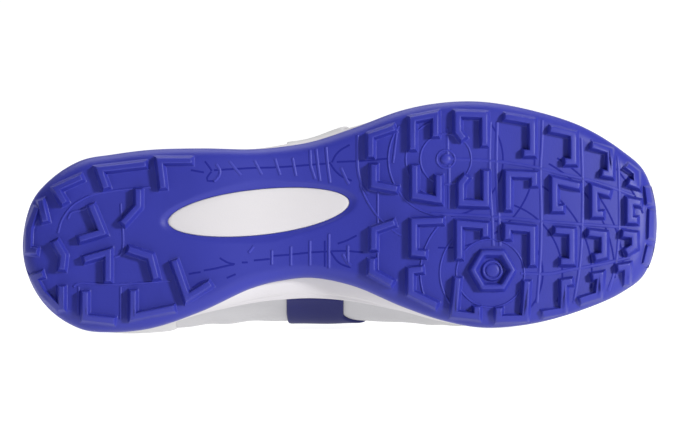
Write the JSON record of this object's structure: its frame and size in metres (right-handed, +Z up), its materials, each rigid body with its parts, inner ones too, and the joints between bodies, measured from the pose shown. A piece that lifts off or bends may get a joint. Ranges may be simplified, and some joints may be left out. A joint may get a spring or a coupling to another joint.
{
  "type": "turf shoe",
  "caption": "Low-cut lace-up turf shoe for the right foot, lying on its medial side, with a blue lugged rubber outsole and a white midsole, upper and laces.",
  "frame": {"origin": "centre of the bounding box's base, on the floor that the shoe's medial side lies on", "axes": "+X from heel to toe, -Y out of the sole, +Z up, towards the shoe's lateral side"},
  "size_m": [0.2922, 0.1184, 0.104],
  "materials": {
    "blue_rubber": "semi-matte moulded rubber",
    "white_foam": "matte moulded foam",
    "white_leather": "smooth synthetic leather with a soft sheen",
    "white_overlay": "smooth synthetic leather overlays",
    "blue_band": "smooth dark blue synthetic leather",
    "blue_lining": "matte knitted lining",
    "white_tongue": "soft padded synthetic leather",
    "white_lace": "woven flat lace"
  },
  "bodies": {
    "root": {"outsole": "blue_rubber", "midsole": "white_foam", "insole": "blue_lining", "upper": "white_leather", "eyestay": "white_overlay", "toe_cap": "white_overlay", "heel_counter": "white_overlay", "side_band_medial": "blue_band", "side_band_lateral": "white_overlay", "collar_padding": "blue_lining", "tongue": "white_tongue", "laces": "white_lace"}
  },
  "joints": []
}
